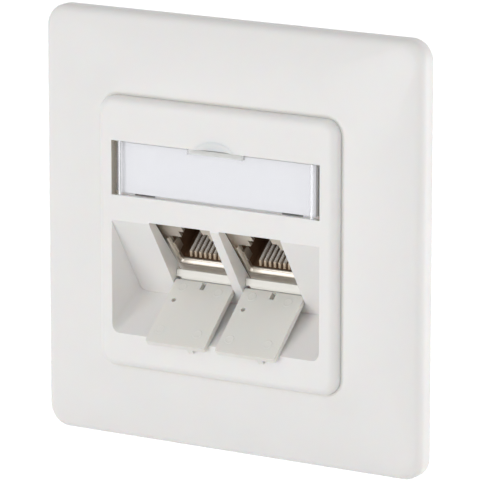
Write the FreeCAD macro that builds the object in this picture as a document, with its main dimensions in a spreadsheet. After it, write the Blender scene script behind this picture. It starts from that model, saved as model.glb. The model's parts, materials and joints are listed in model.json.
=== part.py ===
import FreeCAD, Part
import math
import os

import Sketcher

# Two-port data outlet for a flush wall box.
# Frame: +Z up, +X to the right, +Y into the wall; the origin is the middle of
# the cover frame on the wall plane, so the visible front lies at negative Y.
# The ports and the dust flaps share one slanted frame: its origin is the upper
# edge of the recess on the plate's front, "down" runs along the slanted face and
# "deep" runs square to it, into the wall.  The jack module has a steeper frame of
# its own, with its origin on the back of the port shroud.

SIZES = {
    # cover frame
    "frame_side": 80.0,
    "frame_corner": 4.0,
    "frame_rim": 3.7,
    "frame_wall": 2.2,
    "frame_edge_round": 2.0,
    "frame_border": 14.85,
    "dome_rise": 3.2,
    "dome_mitre_round": 9.0,
    "slope_over": 1.0,
    "hollow_depth": 2.4,
    "hollow_step": 4.3,
    "hollow_inset": 6.0,
    "skirt_wall": 1.6,
    "lip_wide": 1.4,
    "lip_thick": 1.5,
    "rib_thick": 1.2,
    "rib_offset": 16.0,
    "rib_room": 0.3,
    "rib_bite": 0.3,
    # central plate
    "plate_border": 3.1,
    "plate_corner": 3.0,
    "plate_gap": 0.25,
    "plate_proud": 2.1,
    "plate_edge_round": 1.5,
    "plate_wall": 1.6,
    "plate_face": 1.5,
    # label pocket, window and card
    "label_high": 10.1,
    "label_centre": 12.05,
    "label_depth": 1.4,
    "label_floor": 1.2,
    "label_gap": 0.1,
    "label_setback": 0.1,
    "label_slot_wide": 1.1,
    "label_slot_inset": 0.15,
    "label_slot_margin": 0.5,
    "scoop_radius": 6.0,
    "scoop_rise": 1.8,
    "scoop_depth": 0.8,
    "window_leg_gap": 0.15,
    "window_leg_reach": 1.0,
    "window_lip_wide": 11.6,
    "window_lip_high": 1.0,
    "window_lip_depth": 0.5,
    "window_tab_wide": 4.4,
    "window_tab_high": 0.5,
    "window_tab_inset": 6.4,
    "card_thick": 0.3,
    "card_gap": 0.1,
    "card_margin": 0.3,
    # recess
    "recess_top": 2.26,
    "recess_bottom": 18.8,
    "recess_tilt": 33.5,
    "recess_length": 18.2,
    "recess_wall": 1.6,
    "recess_round": 1.5,
    "recess_anchor": 0.6,
    # ports and hinges
    "port_wide": 13.0,
    "port_bottom": 14.55,
    "shroud_deep": 1.5,
    "shroud_start": 0.4,
    "shroud_side": 1.5,
    "hinge_down": 15.15,
    "hinge_deep": 0.65,
    "hinge_room": 0.25,
    "pin_radius": 0.3,
    "pin_length": 0.9,
    "pin_gap": 0.05,
    "notch_wide": 1.0,
    "notch_deep": 0.6,
    # dust flaps
    "flap_reach": 14.05,
    "flap_thick": 1.0,
    "flap_skin": 0.5,
    "flap_root": 0.5,
    "flap_root_round": 0.42,
    "flap_side_gap": 0.2,
    "flap_tip_gap": 1.34,
    "flap_stop_gap": 0.05,
    "flap_tip_round": 0.4,
    "flap_slot_wide": 0.9,
    "flap_slot_low": 0.2,
    "flap_slot_high": 1.6,
    "grip_wide": 1.1,
    "grip_high": 0.45,
    "grip_inset": 0.05,
    "grip_proud": 1.1,
    "grip_offset": 2.8,
    "pip_radius": 0.45,
    "pip_side": 4.6,
    "pip_along": 4.4,
    # support ring
    "ring_inset": 4.5,
    "ring_corner": 9.0,
    "ring_thick": 1.2,
    "ring_gap": 0.34,
    "ring_neck": 11.2,
    "ring_step": 5.8,
    "ring_sill": 17.8,
    "slot_inset": 5.5,
    "slot_wide": 3.6,
    "slot_long": 7.2,
    # plate screw
    "screw_height": 15.0,
    "screw_radius": 1.5,
    "screw_hole_gap": 0.2,
    "screw_thread_gap": 0.05,
    "screw_head_radius": 2.8,
    "screw_head_high": 1.7,
    "screw_head_gap": 0.25,
    "screw_recess": 2.0,
    "screw_tail": 2.0,
    "boss_radius": 3.7,
    "drive_wide": 0.8,
    "drive_deep": 0.8,
    # jacks
    "jack_tilt": 40.8,
    "jack_setback": 0.9,
    "jack_wide": 14.5,
    "jack_between": 0.4,
    "jack_top": 1.0,
    "jack_high": 15.6,
    "jack_long": 17.0,
    "jack_skin": 0.5,
    "jack_face": 0.6,
    "jack_fit": 0.05,
    "cavity_wide": 11.7,
    "cavity_top": 5.82,
    "cavity_bottom": 12.75,
    "cavity_deep": 12.5,
    "key_wide": 6.3,
    "key_top": 4.2,
    "latch_wide": 4.0,
    "latch_top": 2.0,
    "lip_round": 0.5,
    "spring_thick": 0.3,
    "spring_top": 7.9,
    "spring_high": 2.7,
    "spring_deep": 1.7,
    "contact_pitch": 1.02,
    "contact_wide": 0.46,
    "contact_thick": 0.4,
    "contact_front": 0.1,
    "contact_lift": 1.5,
    "contact_hook": 0.6,
    "contact_drop": 0.5,
    "comb_gap": 0.12,
    # module housing, circuit board and rear cover
    "housing_wall": 1.6,
    "housing_room": 0.2,
    "housing_front": 1.5,
    "board_margin": 0.6,
    "board_thick": 1.6,
    "board_gap": 0.1,
    "ear_low": 1.6,
    "ear_high": 7.4,
    "ear_thick": 1.8,
    "ear_screw_inset": 3.4,
    "ear_screw_room": 1.3,
    "ear_screw_radius": 1.25,
    "ear_head_radius": 2.2,
    "ear_head_high": 1.5,
    "terminal_wide": 14.2,
    "terminal_between": 0.7,
    "terminal_high": 9.6,
    "terminal_deep": 8.6,
    "terminal_pitch": 1.7,
    "terminal_slot": 0.6,
    "terminal_slot_deep": 5.0,
    "blade_thick": 0.4,
    "blade_high": 5.2,
    "blade_deep": 3.6,
    "cover_wall": 1.0,
    "cover_deep": 11.0,
    "cover_round": 1.5,
    "cable_radius": 3.2,
}

doc = FreeCAD.newDocument("data_outlet")
sheet = doc.addObject("Spreadsheet::Sheet", "Sizes")


def put(row, alias, number):
    sheet.set("A%d" % row, alias)
    sheet.set("B%d" % row, repr(float(number)))
    sheet.setAlias("B%d" % row, alias)


def derived(size):
    """Positions that follow from the sizes above, in mm and degrees."""
    tilt = math.radians(size["recess_tilt"])
    sine, cosine = math.sin(tilt), math.cos(tilt)
    out = {}
    out["plate_side"] = size["frame_side"] - 2 * size["frame_border"]
    out["recess_wide"] = out["plate_side"] - 2 * size["plate_border"]
    out["label_wide"] = out["recess_wide"]
    out["ring_side"] = size["frame_side"] - 2 * size["ring_inset"]
    out["slot_spacing"] = out["ring_side"] - 2 * size["slot_inset"]
    jack_step = size["jack_wide"] + size["jack_between"]
    terminal_step = size["terminal_wide"] + size["terminal_between"]
    out["port_pitch"] = max(jack_step, terminal_step)
    lip_half = out["plate_side"] / 2 + size["plate_gap"] - size["lip_wide"]
    out["ear_screw_x"] = lip_half - size["ear_screw_room"] - size["ear_head_radius"]
    out["lip_front"] = size["ring_thick"] + size["lip_thick"]
    out["dome_front"] = size["frame_rim"] + size["dome_rise"]
    out["plate_front"] = out["dome_front"] + size["plate_proud"]
    out["label_seat"] = out["plate_front"] - size["label_depth"]

    # recess corners, measured from the plate's front plane
    deep_y = size["recess_length"] * sine
    deep_z = size["recess_top"] - size["recess_length"] * cosine
    out["deep_y"] = deep_y - out["plate_front"]
    out["deep_z"] = deep_z
    run = math.hypot(deep_y, deep_z + size["recess_bottom"])
    along_y, along_z = deep_y / run, (deep_z + size["recess_bottom"]) / run
    wall = size["recess_wall"]
    up_y, up_z = wall * cosine, size["recess_top"] + wall * sine
    low_y, low_z = wall * along_z, -size["recess_bottom"] - wall * along_y
    det = -sine * along_z - cosine * along_y
    gap_y, gap_z = low_y - up_y, low_z - up_z
    reach = (-gap_y * along_z + gap_z * along_y) / det
    out["box_deep_y"] = up_y + reach * sine - out["plate_front"]
    out["box_deep_z"] = up_z - reach * cosine
    start = (size["recess_anchor"] - up_y) / sine
    out["box_top_z"] = up_z - start * cosine
    out["box_front_y"] = size["recess_anchor"] - out["plate_front"]
    out["box_low_z"] = low_z + (size["recess_anchor"] - low_y) * along_z / along_y

    # hinge axis, and the opening angle at which the flap's back lies on the
    # lower front edge of the recess
    axis_y = size["hinge_down"] * sine + size["hinge_deep"] * cosine
    axis_z = size["recess_top"] - size["hinge_down"] * cosine + size["hinge_deep"] * sine
    out["hinge_y"] = axis_y - out["plate_front"]
    out["hinge_z"] = axis_z
    stop = math.hypot(axis_y, axis_z + size["recess_bottom"])
    bearing = math.degrees(math.atan2(-size["recess_bottom"] - axis_z, -axis_y)) % 360.0
    lean = math.degrees(math.acos(-(size["flap_skin"] + size["flap_stop_gap"]) / stop))
    out["flap_open"] = bearing + 90.0 - lean - 90.0 - size["recess_tilt"]

    # port shroud: its back is square to the jacks, so it deepens downwards
    out["channel_deep"] = size["hinge_deep"] + size["flap_skin"] + size["hinge_room"]
    channel_low = size["hinge_down"] + size["flap_skin"] + size["hinge_room"]
    widen = math.tan(math.radians(size["jack_tilt"] - size["recess_tilt"]))

    def slanted(down, deep):
        high = size["recess_top"] - down * cosine + deep * sine
        return down * sine + deep * cosine - out["plate_front"], high

    for end, down in (("high", size["shroud_start"]), ("low", channel_low + size["shroud_side"])):
        front = slanted(down, wall / 2)
        back = slanted(down, size["shroud_deep"] + down * widen)
        out["shroud_front_y_" + end], out["shroud_front_z_" + end] = front
        out["shroud_back_y_" + end], out["shroud_back_z_" + end] = back
    out["jack_y"], out["jack_z"] = slanted(0.0, size["shroud_deep"])

    # depths along the jack module's frame
    out["board_front"] = size["jack_setback"] + size["jack_long"]
    out["board_back"] = out["board_front"] + size["board_thick"]
    out["housing_back"] = out["board_back"] + size["board_gap"]
    out["housing_half"] = (
        out["port_pitch"] - size["jack_between"] / 2 + size["housing_room"] + size["housing_wall"]
    )
    return out


rows = dict(SIZES)
rows.update(derived(SIZES))
for number, (alias, amount) in enumerate(rows.items(), 1):
    put(number, alias, amount)
doc.recompute()


def cell(text):
    """Writes each alias in a formula as a reference to the sheet."""
    out, word = "", ""
    for letter in text + " ":
        if letter.isalnum() or letter == "_":
            word += letter
            continue
        out += "Sizes." + word if word in rows else word
        out += letter
        word = ""
    return out.strip()


def amount_of(text):
    return float(sheet.evalExpression(cell(text)))


def new_body(name):
    body = doc.addObject("PartDesign::Body", name)
    body.Label = name
    return body


def origin_plane(body, role):
    return [item for item in body.Origin.OriginFeatures if item.Role == role][0]


def attach(item, support, base=("0", "0", "0")):
    item.AttachmentSupport = [(support, "")]
    item.MapMode = "FlatFace"
    for axis, text in zip("xyz", base):
        item.setExpression("AttachmentOffset.Base." + axis, cell(text))


def slanted_plane(body, name, tilt, high, front):
    """Datum plane tilted about X, through a point given by height and front."""
    plane = body.newObject("PartDesign::Plane", name)
    plane.AttachmentOffset = FreeCAD.Placement(
        FreeCAD.Vector(0, 0, 0), FreeCAD.Rotation(FreeCAD.Vector(1, 0, 0), 1.0)
    )
    attach(plane, origin_plane(body, "XZ_Plane"), ("0", high, front))
    plane.setExpression("AttachmentOffset.Rotation.Angle", cell(tilt))
    return plane


def module_placement(body):
    """Puts a body that is drawn upright into the jack module's frame."""
    body.Placement = FreeCAD.Placement(
        FreeCAD.Vector(0, 0, 0), FreeCAD.Rotation(FreeCAD.Vector(1, 0, 0), 1.0)
    )
    body.setExpression("Placement.Base.y", cell("jack_y"))
    body.setExpression("Placement.Base.z", cell("jack_z"))
    body.setExpression("Placement.Rotation.Angle", cell("jack_tilt"))


def new_sketch(body, name, support, base):
    sketch = body.newObject("Sketcher::SketchObject", name)
    attach(sketch, support, base)
    return sketch


def bind(sketch, label, kind, where, text):
    index = sketch.addConstraint(Sketcher.Constraint(kind, *where, amount_of(text)))
    sketch.renameConstraint(index, label)
    sketch.setExpression("Constraints." + label, cell(text))


def rectangles(body, name, support, items, base=("0", "0", "0")):
    """Sketch of rectangles, each given as left, low, wide and high."""
    sketch = new_sketch(body, name, support, base)
    for count, (left, low, wide, high) in enumerate(items):
        x, y = amount_of(left), amount_of(low)
        w, h = amount_of(wide), amount_of(high)
        corners = [(x, y), (x + w, y), (x + w, y + h), (x, y + h)]
        points = [FreeCAD.Vector(px, py, 0) for px, py in corners]
        first = 4 * count
        for step in range(4):
            sketch.addGeometry(Part.LineSegment(points[step], points[(step + 1) % 4]), False)
        for step in range(4):
            follow = first + (step + 1) % 4
            sketch.addConstraint(Sketcher.Constraint("Coincident", first + step, 2, follow, 1))
        for step, kind in enumerate(("Horizontal", "Vertical", "Horizontal", "Vertical")):
            sketch.addConstraint(Sketcher.Constraint(kind, first + step))
        bind(sketch, "wide%d" % count, "DistanceX", (first, 1, first, 2), wide)
        bind(sketch, "high%d" % count, "DistanceY", (first + 1, 1, first + 1, 2), high)
        bind(sketch, "left%d" % count, "DistanceX", (-1, 1, first, 1), left)
        bind(sketch, "low%d" % count, "DistanceY", (-1, 1, first, 1), low)
    return sketch


def rounded_squares(body, name, support, items, base=("0", "0", "0")):
    """Sketch of rounded squares about the origin, each given as side and corner."""
    sketch = new_sketch(body, name, support, base)
    for count, (side, corner) in enumerate(items):
        half, radius = amount_of(side) / 2, amount_of(corner)
        inner = half - radius
        first = 8 * count
        for step in range(4):
            turn = FreeCAD.Rotation(FreeCAD.Vector(0, 0, 1), 90.0 * step)
            start = turn.multVec(FreeCAD.Vector(-inner, -half, 0))
            end = turn.multVec(FreeCAD.Vector(inner, -half, 0))
            sketch.addGeometry(Part.LineSegment(start, end), False)
        for step in range(4):
            turn = FreeCAD.Rotation(FreeCAD.Vector(0, 0, 1), 90.0 * step)
            middle = turn.multVec(FreeCAD.Vector(inner, -inner, 0))
            circle = Part.Circle(middle, FreeCAD.Vector(0, 0, 1), radius)
            begin = math.radians(90.0 * step - 90.0)
            sketch.addGeometry(Part.ArcOfCircle(circle, begin, begin + math.pi / 2), False)
        for step in range(4):
            line, arc = first + step, first + 4 + step
            follow = first + (step + 1) % 4
            sketch.addConstraint(Sketcher.Constraint("Tangent", line, 2, arc, 1))
            sketch.addConstraint(Sketcher.Constraint("Tangent", arc, 2, follow, 1))
        for step, kind in enumerate(("Horizontal", "Vertical", "Horizontal", "Vertical")):
            sketch.addConstraint(Sketcher.Constraint(kind, first + step))
        for step in range(1, 4):
            sketch.addConstraint(Sketcher.Constraint("Equal", first + 4, first + 4 + step))
        bind(sketch, "corner%d" % count, "Radius", (first + 4,), corner)
        offset = "(%s)/2-(%s)" % (side, corner)
        bind(sketch, "right%d" % count, "DistanceX", (-1, 1, first + 4, 3), offset)
        bind(sketch, "low%d" % count, "DistanceY", (-1, 1, first + 4, 3), "-(%s)" % offset)
        bind(sketch, "left%d" % count, "DistanceX", (-1, 1, first + 6, 3), "-(%s)" % offset)
        bind(sketch, "high%d" % count, "DistanceY", (-1, 1, first + 6, 3), offset)
    return sketch


def polygon(body, name, support, corners, base=("0", "0", "0")):
    """Sketch of one closed outline, each corner placed from the sketch's origin."""
    sketch = new_sketch(body, name, support, base)
    points = [FreeCAD.Vector(amount_of(px), amount_of(py), 0) for px, py in corners]
    total = len(points)
    for step in range(total):
        sketch.addGeometry(Part.LineSegment(points[step], points[(step + 1) % total]), False)
    for step in range(total):
        sketch.addConstraint(Sketcher.Constraint("Coincident", step, 2, (step + 1) % total, 1))
    for step, (px, py) in enumerate(corners):
        bind(sketch, "across%d" % step, "DistanceX", (-1, 1, step, 1), px)
        bind(sketch, "along%d" % step, "DistanceY", (-1, 1, step, 1), py)
    return sketch


def circles(body, name, support, items, base=("0", "0", "0")):
    """Sketch of circles, each given as centre and radius."""
    sketch = new_sketch(body, name, support, base)
    for count, (px, py, radius) in enumerate(items):
        centre = FreeCAD.Vector(amount_of(px), amount_of(py), 0)
        circle = Part.Circle(centre, FreeCAD.Vector(0, 0, 1), amount_of(radius))
        sketch.addGeometry(circle, False)
        bind(sketch, "radius%d" % count, "Radius", (count,), radius)
        bind(sketch, "across%d" % count, "DistanceX", (-1, 1, count, 3), px)
        bind(sketch, "along%d" % count, "DistanceY", (-1, 1, count, 3), py)
    return sketch


def slots(body, name, support, items, base=("0", "0", "0")):
    """Sketch of level slots, each given as centre, wide and long."""
    sketch = new_sketch(body, name, support, base)
    for count, (px, py, wide, length) in enumerate(items):
        x, y = amount_of(px), amount_of(py)
        radius = amount_of(wide) / 2
        reach = amount_of(length) / 2 - radius
        first = 4 * count
        up = FreeCAD.Vector(0, 0, 1)
        right = Part.Circle(FreeCAD.Vector(x + reach, y, 0), up, radius)
        left = Part.Circle(FreeCAD.Vector(x - reach, y, 0), up, radius)
        low = [FreeCAD.Vector(x - reach, y - radius, 0), FreeCAD.Vector(x + reach, y - radius, 0)]
        high = [FreeCAD.Vector(x + reach, y + radius, 0), FreeCAD.Vector(x - reach, y + radius, 0)]
        sketch.addGeometry(Part.LineSegment(*low), False)
        sketch.addGeometry(Part.ArcOfCircle(right, -math.pi / 2, math.pi / 2), False)
        sketch.addGeometry(Part.LineSegment(*high), False)
        sketch.addGeometry(Part.ArcOfCircle(left, math.pi / 2, 3 * math.pi / 2), False)
        for step in range(4):
            follow = first + (step + 1) % 4
            sketch.addConstraint(Sketcher.Constraint("Tangent", first + step, 2, follow, 1))
        sketch.addConstraint(Sketcher.Constraint("Horizontal", first))
        offset = "((%s)-(%s))/2" % (length, wide)
        bind(sketch, "radius%d" % count, "Radius", (first + 1,), "(%s)/2" % wide)
        bind(sketch, "right%d" % count, "DistanceX", (-1, 1, first + 1, 3), "(%s)+%s" % (px, offset))
        bind(sketch, "left%d" % count, "DistanceX", (-1, 1, first + 3, 3), "(%s)-%s" % (px, offset))
        bind(sketch, "along%d" % count, "DistanceY", (-1, 1, first + 1, 3), py)
    return sketch


def solid_step(body, kind, sketch, length, back=False, both=False):
    """Pad or Pocket; both=True works symmetrically about the sketch."""
    feature = body.newObject("PartDesign::" + kind, sketch.Name + kind)
    feature.Profile = (sketch, [])
    if both:
        feature.SideType = "Symmetric"
    feature.Reversed = back
    feature.setExpression("Length", cell(length))
    doc.recompute()
    return feature


def pad(body, sketch, length, back=False, both=False):
    return solid_step(body, "Pad", sketch, length, back, both)


def pocket(body, sketch, length, back=False, both=False):
    before = body.Shape.Volume
    feature = solid_step(body, "Pocket", sketch, length, back, both)
    if body.Shape.Volume > before - 1e-6:
        raise RuntimeError("%s removes nothing" % feature.Name)
    return feature


def row_of(body, feature, direction, pitch, count):
    """Even row of a feature along one of the body's own axes."""
    pattern = body.newObject("PartDesign::LinearPattern", feature.Name + "Row")
    pattern.Originals = [feature]
    pattern.Direction = (direction, ["H_Axis"])
    pattern.Occurrences = count
    pattern.setExpression("Length", cell("%s*%d" % (pitch, count - 1)))
    body.Tip = pattern
    doc.recompute()
    return pattern


def soften(body, name, radius, wanted):
    """Fillet of the edges of the body's last step that the test picks out."""
    last = body.Tip
    edges = ["Edge%d" % (i + 1) for i, edge in enumerate(last.Shape.Edges) if wanted(edge)]
    fillet = body.newObject("PartDesign::Fillet", name)
    fillet.Base = (last, edges)
    fillet.setExpression("Radius", cell(radius))
    doc.recompute()
    return fillet


def box_of(edge):
    return edge.BoundBox


def near(one, other):
    return abs(one - other) < 1e-4


# Cover frame: a straight rim, a dome lofted from the rim to the opening, and a
# hollow back with a skirt and a lip round the opening.
frame = new_body("cover_frame")
frame_front = origin_plane(frame, "XZ_Plane")
rim = rounded_squares(frame, "FrameRim", frame_front, [("frame_side", "frame_corner")])
pad(frame, rim, "dome_front")
opening_side = "(plate_side+2*plate_gap)"
opening_corner = "(plate_corner+plate_gap)"
slope_drop = "(dome_rise*slope_over/(frame_border-plate_gap))"
slope_shape = [
    ("-dome_front", "(%s/2)" % opening_side),
    (slope_drop + "-frame_rim", "(frame_side/2+slope_over)"),
    ("-dome_front-slope_over", "(frame_side/2+slope_over)"),
    ("-dome_front-slope_over", "(%s/2)" % opening_side),
]
for count, side in enumerate(("", "-")):
    upright = [(front, side + out) for front, out in slope_shape]
    level = [(side + out, front) for front, out in slope_shape]
    over = polygon(frame, "SlopeOver%d" % count, origin_plane(frame, "YZ_Plane"), upright)
    pocket(frame, over, "frame_side+slope_over", both=True)
    beside = polygon(frame, "SlopeBeside%d" % count, origin_plane(frame, "XY_Plane"), level)
    pocket(frame, beside, "frame_side+slope_over", both=True)
soften(
    frame,
    "DomeMitres",
    "dome_mitre_round",
    lambda edge: near(abs(edge.CenterOfMass.x), abs(edge.CenterOfMass.z))
    and near(box_of(edge).XLength, box_of(edge).ZLength)
    and box_of(edge).YLength > SIZES["dome_rise"] / 2
    and box_of(edge).YMax < -SIZES["frame_rim"],
)
soften(
    frame,
    "FrameEdge",
    "frame_edge_round",
    lambda edge: near(box_of(edge).YMax, -SIZES["frame_rim"])
    or (box_of(edge).YMax < -SIZES["frame_rim"]
        and abs(edge.CenterOfMass.x) > amount_of("frame_side/2-frame_corner")
        and abs(edge.CenterOfMass.z) > amount_of("frame_side/2-frame_corner")),
)
hollow_side = "(frame_side-2*frame_wall)"
hollow_corner = "(frame_corner-frame_wall/2)"
skirt_side = "(%s+2*skirt_wall)" % opening_side
skirt_corner = "(%s+skirt_wall)" % opening_corner
seat = rounded_squares(frame, "RingRoom", frame_front, [(hollow_side, hollow_corner)])
pocket(frame, seat, "ring_thick", back=True)
hollow = rounded_squares(
    frame, "Hollow", frame_front, [(hollow_side, hollow_corner), (skirt_side, skirt_corner)]
)
pocket(frame, hollow, "hollow_depth", back=True)
deeper = rounded_squares(
    frame,
    "HollowStep",
    frame_front,
    [("%s-2*hollow_inset" % hollow_side, hollow_corner), (skirt_side, skirt_corner)],
)
pocket(frame, deeper, "hollow_step", back=True)
rib_near = "(%s/2-rib_bite)" % skirt_side
rib_long = "((%s-2*hollow_inset)/2+rib_bite-%s)" % (hollow_side, rib_near)
rib_items = []
for offset in ("rib_offset", "-rib_offset"):
    across = "%s-rib_thick/2" % offset
    rib_items.append((rib_near, across, rib_long, "rib_thick"))
    rib_items.append(("-%s-%s" % (rib_near, rib_long), across, rib_long, "rib_thick"))
    rib_items.append((across, rib_near, "rib_thick", rib_long))
    rib_items.append((across, "-%s-%s" % (rib_near, rib_long), "rib_thick", rib_long))
ribs = rectangles(frame, "Ribs", frame_front, rib_items, ("0", "0", "ring_thick+rib_room"))
pad(frame, ribs, "hollow_step+rib_bite-ring_thick-rib_room")
through = rounded_squares(
    frame, "LipOpening", frame_front, [("%s-2*lip_wide" % opening_side, opening_corner)]
)
pocket(frame, through, "dome_front", back=True)
wide_opening = rounded_squares(
    frame, "PlateOpening", frame_front, [(opening_side, opening_corner)], ("0", "0", "lip_front")
)
pocket(frame, wide_opening, "dome_front", back=True)

# Central plate: a cap with a skirt, the label pocket, the slanted recess with
# its own walls, a wedge-shaped shroud behind it, two ports and hinge channels.
plate = new_body("central_plate")
plate_plane = origin_plane(plate, "XZ_Plane")
side_plane = origin_plane(plate, "YZ_Plane")
cap = rounded_squares(
    plate, "PlateCap", plate_plane, [("plate_side", "plate_corner")], ("0", "0", "lip_front")
)
pad(plate, cap, "plate_front-lip_front")
front_at = -amount_of("plate_front")
soften(
    plate,
    "PlateEdge",
    "plate_edge_round",
    lambda edge: near(box_of(edge).YMin, front_at) and near(box_of(edge).YMax, front_at),
)
cap_hollow = rounded_squares(
    plate,
    "PlateHollow",
    plate_plane,
    [("plate_side-2*plate_wall", "plate_corner-plate_wall")],
    ("0", "0", "lip_front"),
)
pocket(plate, cap_hollow, "plate_front-plate_face-lip_front", back=True)
label_back = rectangles(
    plate,
    "LabelBack",
    plate_plane,
    [("-label_wide/2-label_floor", "-label_high/2-label_floor",
      "label_wide+2*label_floor", "label_high+2*label_floor")],
    ("0", "label_centre", "label_seat-label_floor"),
)
pad(plate, label_back, "label_floor")
boss = circles(
    plate, "ScrewBoss", plate_plane, [("0", "screw_height", "boss_radius")], ("0", "0", "ring_thick")
)
pad(plate, boss, "label_seat-ring_thick")
recess_box = polygon(
    plate,
    "RecessBox",
    side_plane,
    [("box_front_y", "box_top_z"), ("box_deep_y", "box_deep_z"), ("box_front_y", "box_low_z")],
)
pad(plate, recess_box, "recess_wide+2*recess_wall", both=True)
port_plane = slanted_plane(plate, "PortPlane", "recess_tilt", "recess_top", "plate_front")
shroud = polygon(
    plate,
    "Shroud",
    side_plane,
    [("shroud_front_y_high", "shroud_front_z_high"), ("shroud_back_y_high", "shroud_back_z_high"),
     ("shroud_back_y_low", "shroud_back_z_low"), ("shroud_front_y_low", "shroud_front_z_low")],
)
pad(plate, shroud, "port_pitch+port_wide+2*shroud_side", both=True)
scoop = circles(
    plate,
    "Scoop",
    plate_plane,
    [("0", "label_centre+label_high/2+scoop_rise-scoop_radius", "scoop_radius")],
    ("0", "0", "plate_front"),
)
pocket(plate, scoop, "scoop_depth")
label_pocket = rectangles(
    plate,
    "LabelPocket",
    plate_plane,
    [("-label_wide/2", "-label_high/2", "label_wide", "label_high")],
    ("0", "label_centre", "plate_front"),
)
pocket(plate, label_pocket, "label_depth")
slot_left = "(label_wide/2-label_slot_inset)"
slot_low = "(label_high/2-label_slot_margin)"
label_slots = rectangles(
    plate,
    "LabelSlots",
    plate_plane,
    [("-" + slot_left, "-" + slot_low, "label_slot_wide", "2*" + slot_low),
     (slot_left + "-label_slot_wide", "-" + slot_low, "label_slot_wide", "2*" + slot_low)],
    ("0", "label_centre", "label_seat"),
)
pocket(plate, label_slots, "label_floor")
tab_left = "(label_wide/2-window_tab_inset-window_tab_wide/2)"
tab_items = [
    ("-%s-window_tab_wide" % tab_left, "-label_high/2", "window_tab_wide", "window_tab_high"),
    (tab_left, "-label_high/2", "window_tab_wide", "window_tab_high"),
]
tab_slots = rectangles(plate, "TabSlots", plate_plane, tab_items, ("0", "label_centre", "label_seat"))
pocket(plate, tab_slots, "label_floor")
head_room = circles(
    plate,
    "HeadRoom",
    plate_plane,
    [("0", "screw_height", "screw_head_radius+screw_head_gap")],
    ("0", "0", "label_seat"),
)
pocket(plate, head_room, "screw_recess")
shank_hole = circles(
    plate,
    "ShankHole",
    plate_plane,
    [("0", "screw_height", "screw_radius+screw_hole_gap")],
    ("0", "0", "label_seat"),
)
pocket(plate, shank_hole, "label_seat-ring_thick")
notch = polygon(
    plate,
    "Notch",
    side_plane,
    [("-plate_front-recess_anchor", "recess_top"), ("-plate_front", "recess_top"),
     ("deep_y", "deep_z"), ("-plate_front", "-recess_bottom"),
     ("-plate_front-recess_anchor", "-recess_bottom")],
)
pocket(plate, notch, "recess_wide", both=True)
deep_at, low_at = amount_of("deep_z"), -SIZES["recess_bottom"]
soften(
    plate,
    "RecessRound",
    "recess_round",
    lambda edge: near(abs(edge.CenterOfMass.x), amount_of("recess_wide") / 2)
    and near(box_of(edge).XMax, box_of(edge).XMin)
    and near(box_of(edge).ZMax, deep_at)
    and near(box_of(edge).ZMin, low_at),
)
port_top = "(flap_reach+flap_tip_gap-hinge_down)"
left_port = "(-port_pitch/2-port_wide/2)"
right_port = "(port_pitch/2-port_wide/2)"
ports = rectangles(
    plate,
    "Ports",
    port_plane,
    [(left_port, "-port_bottom", "port_wide", "port_bottom+" + port_top),
     (right_port, "-port_bottom", "port_wide", "port_bottom+" + port_top)],
)
pocket(plate, ports, "8*channel_deep", both=True)
channel_low = "(hinge_down+flap_skin+hinge_room)"
channels = rectangles(
    plate,
    "HingeChannels",
    port_plane,
    [(left_port, "-" + channel_low, "port_wide", channel_low + "-port_bottom+hinge_room"),
     (right_port, "-" + channel_low, "port_wide", channel_low + "-port_bottom+hinge_room")],
)
pocket(plate, channels, "channel_deep")
right_ends = ["(%s+port_wide-notch_wide)" % port for port in (left_port, right_port)]
pin_notches = rectangles(
    plate,
    "PinNotches",
    port_plane,
    [(end, "-" + channel_low, "notch_wide", channel_low + "-port_bottom+hinge_room")
     for end in (left_port, right_port, *right_ends)],
)
pocket(plate, pin_notches, "channel_deep+notch_deep")
pin_holes = circles(plate, "PinHoles", side_plane, [("hinge_y", "hinge_z", "pin_radius+pin_gap")])
pocket(plate, pin_holes, "port_pitch+port_wide+2*pin_length", both=True)

# Label window: a clear cover with a card pocket, two end legs that drop into the
# slots of the plate, a nail lip on its upper edge and two notches on its lower one.
window = new_body("label_window")
window_plane = origin_plane(window, "XZ_Plane")
window_wide = "(label_wide-2*label_gap)"
window_high = "(label_high-2*label_gap)"
pane = rectangles(
    window,
    "Pane",
    window_plane,
    [("-%s/2" % window_wide, "-%s/2" % window_high, window_wide, window_high)],
    ("0", "label_centre", "label_seat"),
)
pad(window, pane, "label_depth-label_setback")
leg_left = "(label_wide/2-label_slot_inset-window_leg_gap)"
leg_low = "(label_high/2-label_slot_margin-window_leg_gap)"
leg_wide = "(label_slot_wide-2*window_leg_gap)"
legs = rectangles(
    window,
    "Legs",
    window_plane,
    [("-" + leg_left, "-" + leg_low, leg_wide, "2*" + leg_low),
     (leg_left + "-" + leg_wide, "-" + leg_low, leg_wide, "2*" + leg_low)],
    ("0", "label_centre", "label_seat"),
)
pad(window, legs, "label_floor+window_leg_reach", back=True)
card_wide = "(label_wide-2*(label_slot_inset+label_slot_wide))"
card_high = "(label_high-2*card_margin)"
card_room = rectangles(
    window,
    "CardRoom",
    window_plane,
    [("-%s/2" % card_wide, "-%s/2" % card_high, card_wide, card_high)],
    ("0", "label_centre", "label_seat"),
)
pocket(window, card_room, "card_thick+card_gap", back=True)
nail_lip = rectangles(
    window,
    "NailLip",
    window_plane,
    [("-window_lip_wide/2", window_high + "/2-window_lip_high", "window_lip_wide",
      "window_lip_high+label_gap")],
    ("0", "label_centre", "plate_front"),
)
pocket(window, nail_lip, "window_lip_depth+label_setback")
tabs = rectangles(window, "Tabs", window_plane, tab_items, ("0", "label_centre", "plate_front"))
pocket(window, tabs, "label_depth")

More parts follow.
